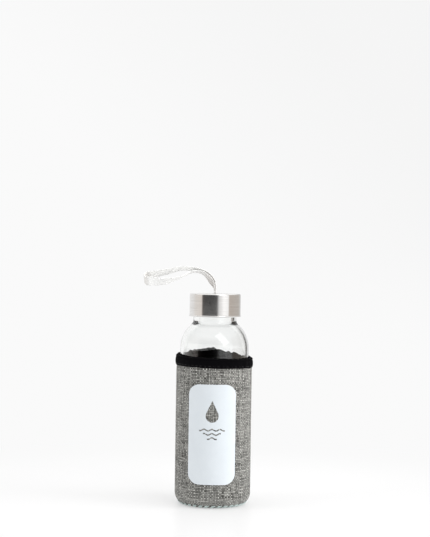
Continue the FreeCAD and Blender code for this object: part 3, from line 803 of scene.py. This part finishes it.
def base_stitches(material):
    """Overcast stitches of the base seam, each four slanted strands wide."""
    rng = np.random.default_rng(3)
    lean = math.radians(3.1)
    groups = []
    for strand in range(STRANDS_WIDE):
        shift = math.radians(1.45) * (strand - 1.5)

        def shape(t, shift=shift):
            radius = 28.95 + 1.75 * t + 0.05 * t * t - 0.45 * (t ** 4)
            height = 1.5 + 1.35 * t + 0.3 * t * t + 0.5 * (t ** 4) * np.sign(-t)
            return shift + lean * t, radius, height
        paths = ring_paths(BASE_STITCHES, 13, shape)
        paths[..., 2] += rng.uniform(-0.08, 0.08, (BASE_STITCHES, 1))
        groups.append(paths)
    return threads("base_seam_stitches", np.concatenate(groups), 0.4, 2.2, material)


def tape_stitches(material):
    """Running stitch near the binding's lower edge, sunk in its puckers."""
    def shape(t):
        return 0.036 * t, 33.86 - 0.28 * (t ** 4), 122.3 + 0.0 * t
    paths = ring_paths(TAPE_STITCHES, 11, shape)
    angle = np.arctan2(paths[..., 0], -paths[..., 1])
    paths[..., 2] += -0.75 * np.sin(angle)
    return threads("binding_seam_stitches", paths, 0.2, 2.5, material)


def seam_stitches(material):
    """Zigzag over the butt joint up the back, its threads slanting one way and the other in turn."""
    t = np.linspace(-1, 1, 13)[None, :]
    z = (TURN_Z + 2 + SEAM_PITCH * np.arange(SEAM_STITCHES))[:, None]
    side = np.where(np.arange(SEAM_STITCHES) % 2, 1.0, -1.0)[:, None]
    half = 1.7 / SLEEVE_R
    radius = SLEEVE_R + 0.3 - 0.35 * t ** 6
    slant = 0.42 * SEAM_PITCH * side * t
    paths = cylinder_points(math.pi + half * t + 0.0 * z, radius + 0.0 * z, z + slant)
    return threads("back_seam_threads", paths, 0.25, 3.0, material)


# ---------------------------------------------------------------- ribbon

# The loop's middle line as (x, height over the knuckle), then (share of its length, value) pairs: the
# ribbon's width, half the gap between its legs, and the turn in degrees of the gap and of each leg
SPINE = [(0.0, 0.0), (-0.3, 3.5), (-2.0, 7.0), (-4.7, 11.3), (-8.7, 15.6), (-14.2, 18.2), (-21.2, 18.5),
         (-28.6, 17.0), (-36.2, 14.7), (-44.0, 12.8), (-51.8, 11.6), (-59.0, 11.0)]
WIDTH = [(0.0, GATHERED_WIDTH), (0.17, 9.0), (1.0, 9.0)]
OPENING = [(0.0, 0.52), (0.3, 0.58), (0.42, 1.3), (0.62, 4.4), (0.8, 5.2), (1.0, 4.3)]
TURN = [(0.0, 0.0), (0.13, 34.0), (0.38, 22.0), (0.6, 27.0), (0.85, 42.0), (1.0, 57.0)]
UPPER_TURN = [(0.0, 0.0), (0.13, 38.0), (0.38, 20.0), (0.6, 24.0), (0.81, 32.0), (1.0, 57.0)]
LOWER_TURN = [(0.0, 0.0), (0.13, 30.0), (0.38, 14.0), (0.57, 7.0), (0.66, 14.0), (0.82, 37.0),
              (1.0, 57.0)]


def eased(table, share):
    """Smooth value from (share, value) pairs."""
    result = np.full_like(share, table[0][1])
    for (s0, v0), (s1, v1) in zip(table, table[1:]):
        step = smooth_step(s0, s1, share)
        result = np.where(share >= s0, v0 + (v1 - v0) * step, result)
    return result


def ribbon_stations():
    """Centre, across and width at every station of the whole ribbon, tail to tail.

    Each leg stands off the loop's middle line along its normal, turned about the line, and the fold is
    a half circle at the far end. The tails run down through the cap and turn out under the washer.
    """
    spine = np.array([(x, 0.0, KNUCKLE_Z + z) for x, z in SPINE])
    stations = 240
    share = np.linspace(0, 1, stations)
    line = even(spline(spine, np.linspace(0, 1, 900)), stations)
    along = unit(np.gradient(line, axis=0))
    back = np.array([0.0, 1.0, 0.0])
    normal = np.cross(back, along)
    turn = np.radians(eased(TURN, share))[:, None]

    def across(table):
        a = np.radians(eased(table, share))[:, None]
        return -back * np.cos(a) + normal * np.sin(a)
    upper, lower = across(UPPER_TURN), across(LOWER_TURN)
    off = normal * np.cos(turn) + back * np.sin(turn)
    opening = eased(OPENING, share)[:, None]
    width = eased(WIDTH, share)
    leg_a, leg_b = line + off * opening, line - off * opening
    a = np.linspace(0, math.pi, 26)[1:-1, None]
    fold = line[-1] + off[-1] * opening[-1] * np.cos(a) + along[-1] * opening[-1] * np.sin(a) * 0.8
    tail = spline([(6.2, 0, 181.95), (4.0, 0, 181.95), (2.2, 0, 181.97), (1.1, 0, 182.4), (0.62, 0, 183.4),
                   (0.53, 0, 184.6), (0.52, 0, KNUCKLE_Z)], np.linspace(0, 1, 60))[:-1]
    mirrored = tail * np.array([-1.0, 1.0, 1.0])
    centre = np.concatenate([tail, leg_a, fold, leg_b[::-1], mirrored[::-1]])
    tail_across = np.tile(-back, (len(tail), 1))
    full_across = np.concatenate([tail_across, upper, np.tile(upper[-1], (len(fold), 1)), lower[::-1],
                                  tail_across])
    tail_width = GATHERED_WIDTH + 2.5 * smooth_step(2.3, 5.0, tail[:, 0])
    full_width = np.concatenate([tail_width, width, np.full(len(fold), width[-1]), width[::-1],
                                 tail_width[::-1]])
    return centre, full_across, full_width


def carry_ribbon(material):
    """Woven ribbon as one closed strip, its ends under the washer and its far end folded.

    The section is a flat superellipse. Its half thickness swells by 0.03 cos(2 pi s / RIB) along the
    length s for the ribs, and where the ribbon is gathered over the washer it curls along its width.
    """
    centre, across, width = ribbon_stations()
    length = path_length(centre)
    s = np.linspace(0, length[-1], int(length[-1] / 0.25))

    def along_length(values):
        if values.ndim == 1:
            return np.interp(s, length, values)
        return np.stack([np.interp(s, length, values[:, k]) for k in range(3)], axis=1)
    middle, side, wide = along_length(centre), unit(along_length(across)), along_length(width)
    kernel = np.ones(7) / 7
    for k in range(3):
        middle[3:-3, k] = np.convolve(middle[:, k], kernel, mode="valid")
    along = unit(np.gradient(middle, axis=0))
    side = unit(side - np.sum(side * along, axis=1, keepdims=True) * along)
    up = np.cross(along, side)
    phi = np.linspace(0, 2 * math.pi, 40, endpoint=False)
    x = np.sign(np.cos(phi)) * np.abs(np.cos(phi)) ** 0.75
    y = np.sign(np.sin(phi)) * np.abs(np.sin(phi)) ** 0.3
    rng = np.random.default_rng(2)
    rib = 0.03 * np.cos(2 * math.pi * s / RIB)
    edge = smooth_step(0.82, 0.92, np.abs(x))
    thick = RIBBON_HALF_THICK + rib[:, None] * (1 - edge)[None, :] + 0.05 * edge[None, :]
    gathered = smooth_step(8.0, 4.2, wide) * smooth_step(182.6, 184.6, middle[:, 2])
    curl = -0.5 * gathered[:, None] * x[None, :] ** 2
    flutter = 0.12 * ripples(rng, s * 0.05, 4, 1, 6)[:, None] * x[None, :]
    offset_x = wide[:, None] / 2 * x[None, :] * (1 + 0.012 * np.cos(2 * math.pi * s / RIB))[:, None]
    offset_y = thick * y[None, :] + (curl * np.sign(up[:, 0])[:, None] * 0.6 + flutter)
    points = (middle[:, None, :] + side[:, None, :] * offset_x[..., None]
              + up[:, None, :] * offset_y[..., None])
    lines_v = np.concatenate([(x + 1) / 2, [(x[0] + 1) / 2]])
    obj = surface("carry_ribbon", points, material, False, True, (s - s[-1] / 2) / RIB, lines_v)
    close_ends(obj, len(phi))
    return obj


def close_ends(obj, columns):
    """Fills the first and last ring of an open tube."""
    mesh = obj.data
    total = len(mesh.vertices)
    work = bmesh.new()
    work.from_mesh(mesh)
    work.verts.ensure_lookup_table()
    work.faces.new([work.verts[i] for i in range(columns)])
    work.faces.new([work.verts[i] for i in range(total - 1, total - columns - 1, -1)])
    bmesh.ops.recalc_face_normals(work, faces=work.faces)
    work.to_mesh(mesh)
    work.free()
    mesh.update()


# ---------------------------------------------------------------- pieces on their bodies

cloth = weave_material("melange_canvas", Nodes.uv)
base_cloth = weave_material("melange_canvas_base", base_yarns)
black_thread = thread_material("black_spun_thread", (0.006, 0.006, 0.007), (0.002, 0.002, 0.0025))
light_thread = thread_material("pale_spun_thread", (0.62, 0.72, 0.7), (0.36, 0.43, 0.42))

wall = sleeve_wall(cloth)
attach(wall, "sleeve")
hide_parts("sleeve_face", "sleeve_foam")

pad = base_pad(base_cloth)
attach(pad, "sleeve")
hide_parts("base_face", "base_foam")

band = binding_band(tape_material())
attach(band, "sleeve")
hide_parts("top_binding")

under = base_stitches(light_thread)
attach(under, "sleeve")
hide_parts("base_stitches")

running = tape_stitches(black_thread)
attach(running, "sleeve")
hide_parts("binding_stitches")

zigzag = seam_stitches(black_thread)
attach(zigzag, "sleeve")
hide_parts("back_seam_stitches")

strap = carry_ribbon(ribbon_material())
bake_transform(strap)
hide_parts("strap_root", "strap_loop")

glass = bottle_glass(glass_material())
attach(glass, "bottle")
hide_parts("glass_bottle")

steel = steel_material()
dress("cap_shell", steel)
dress("strap_washer", steel)
dress("cap_insert", plastic_material())
dress("seal_ring", silicone_material())
dress("strap_bartack", thread_material("ribbon_bartack_thread", (0.7, 0.7, 0.69), (0.45, 0.45, 0.44)))
jersey = lining_material()
dress("sleeve_lining", jersey)
dress("base_lining", jersey)
dress("print_panel", print_material())


# ---------------------------------------------------------------- studio

def studio_floor():
    """Pale disc that fades into the backdrop's colour away from the object."""
    angle = around(96)
    radius = np.array([[150.0, 400.0, 900.0, 1800.0]])
    points = cylinder_points(angle * np.ones_like(radius), radius * np.ones_like(angle), STAGE_Z)
    n = Nodes("studio_floor")
    x, y, _ = n.split(n.place())
    fade = n.between(n.distance(x, y), 0.09, 0.4, 0.45, 1.0)
    surface_shader = n.node("BsdfPrincipled", {"Base Color": FLOOR_COLOUR, "Roughness": 0.35,
                                               "Specular IOR Level": 0.3})
    glow = n.node("Emission", {"Color": BACKDROP, "Strength": 1.0})
    both = n.node("MixShader", {0: fade, 1: surface_shader.outputs[0], 2: glow.outputs[0]})
    return surface("studio_floor", points[::-1], n.show(both), True, False, pole_first=(0, 0, STAGE_Z))


def horizon_ramp(n, share, stops):
    """Colour ramp round the horizon from (degrees, colour) stops, starting at -180."""
    ramp = n.node("ValToRGB", {0: share})
    ramp.color_ramp.interpolation = "EASE"
    elements = ramp.color_ramp.elements
    while len(elements) > 1:
        elements.remove(elements[-1])
    elements[0].position = 0.0
    elements[0].color = stops[0][1] + (1.0,)
    for degrees, colour in stops[1:]:
        elements.new((degrees + 180) / 360).color = colour + (1.0,)
    return ramp.outputs[0]


def studio_world():
    """Plain backdrop for the camera. Reflections see panels and dark gaps round the horizon, and light
    that has come through both walls of the glass sees the backdrop again, but for one dark gap.

    The angle is 0 towards the camera and grows towards +X.
    """
    n = Nodes("studio", "World")
    bpy.context.scene.world = n.owner
    x, y, z = n.split(n.node("TexCoord").outputs["Generated"])
    angle = n.bearing(x, y)
    share = n.math("MULTIPLY_ADD", angle, 0.5 / math.pi, 0.5)
    path = n.node("LightPath").outputs
    came_out = path["Is Transmission Ray"]
    both_walls = n.math("MULTIPLY", came_out, n.math("GREATER_THAN", path["Transmission Depth"], 3.0))
    colour = n.mix(both_walls, horizon_ramp(n, share, HORIZON), BACKDROP)
    off_gap = n.math("ABSOLUTE", n.math("SUBTRACT", angle, DARK_GAP))
    in_gap = n.math("MULTIPLY", came_out, n.between(off_gap, 0.3, 0.04))
    colour = n.mix(in_gap, colour, (0.03, 0.03, 0.03))
    colour = n.mix(n.between(z, 0.36, 0.7), colour, OVERHEAD)
    colour = n.mix(n.between(z, -0.3, -0.7), colour, BACKDROP)
    falloff = n.math("MULTIPLY_ADD", x, 4.0, n.math("MULTIPLY", z, 4.0), clamp=True)
    falloff = n.math("MULTIPLY", falloff, n.between(z, -0.08, 0.04))
    seen = n.mix(falloff, BACKDROP, BACKDROP_FAR)
    n.show(n.node("Background", {"Color": n.mix(path["Is Camera Ray"], colour, seen), "Strength": 1.0}))


def studio_lamp(name, place, size, power, roll=0.0, mirrored=True):
    """Soft box at a place, aimed at the bottle's middle. It may be left out of reflections."""
    lamp = bpy.data.lights.new(name, "AREA")
    lamp.shape = "RECTANGLE"
    lamp.size, lamp.size_y = size
    lamp.energy = power
    obj = bpy.data.objects.new(name, lamp)
    bpy.context.scene.collection.objects.link(obj)
    aim = np.array([0.0, 0.0, 0.1]) - np.array(place)
    yaw = math.atan2(aim[0], -aim[1]) + math.pi
    pitch = math.atan2(math.hypot(aim[0], aim[1]), -aim[2])
    turned = (mathutils.Matrix.Rotation(yaw, 3, "Z") @ mathutils.Matrix.Rotation(pitch, 3, "X")
              @ mathutils.Matrix.Rotation(roll, 3, "Z"))
    obj.rotation_euler = turned.to_euler()
    obj.location = place
    obj.visible_camera = False
    obj.visible_glossy = mirrored
    obj.visible_transmission = mirrored


STAGE_Z = -0.05                # in millimetres, just under the base
BACKDROP = (0.955, 0.955, 0.955)
BACKDROP_FAR = (0.915, 0.915, 0.915)     # the backdrop's darker upper right
OVERHEAD = (1.2, 1.2, 1.2)
FLOOR_COLOUR = (0.785, 0.785, 0.787)
HORIZON = [(-180, (0.95, 0.95, 0.95)), (-125, (0.95, 0.95, 0.95)), (-90, (0.86, 0.82, 0.78)),
           (-64, (0.84, 0.78, 0.73)), (-57, (0.05, 0.042, 0.038)), (-40, (0.015, 0.013, 0.012)),
           (-12, (0.01, 0.01, 0.01)), (6, (0.06, 0.06, 0.06)), (22, (0.95, 0.95, 0.95)),
           (42, (1.3, 1.3, 1.3)), (60, (1.2, 1.2, 1.2)), (68, (0.56, 0.5, 0.45)),
           (125, (0.58, 0.54, 0.5)), (158, (0.7, 0.7, 0.7)), (179, (0.95, 0.95, 0.95))]
DARK_GAP = math.radians(141)   # seen only in the edge of the glass

studio_floor()
studio_world()
studio_lamp("key_softbox", (0.87, -1.39, 1.29), (0.85, 1.7), 8.0, roll=0.5)
studio_lamp("right_fill", (1.7, -0.5, 0.5), (1.0, 1.0), 29.0, mirrored=False)
studio_lamp("left_fill", (-1.7, -0.7, 0.5), (1.0, 1.0), 14.0, mirrored=False)

camera = bpy.data.cameras.new("camera")
camera.lens = 87.15
camera.sensor_width = 36.0
camera_object = bpy.data.objects.new("camera", camera)
bpy.context.scene.collection.objects.link(camera_object)
camera_object.location = (-0.0006, -1.142, 0.206)
camera_object.rotation_euler = (math.pi / 2, -0.0152, 0.0)
bpy.context.scene.camera = camera_object
bpy.context.scene.view_settings.view_transform = "Standard"

bpy.context.view_layer.update()
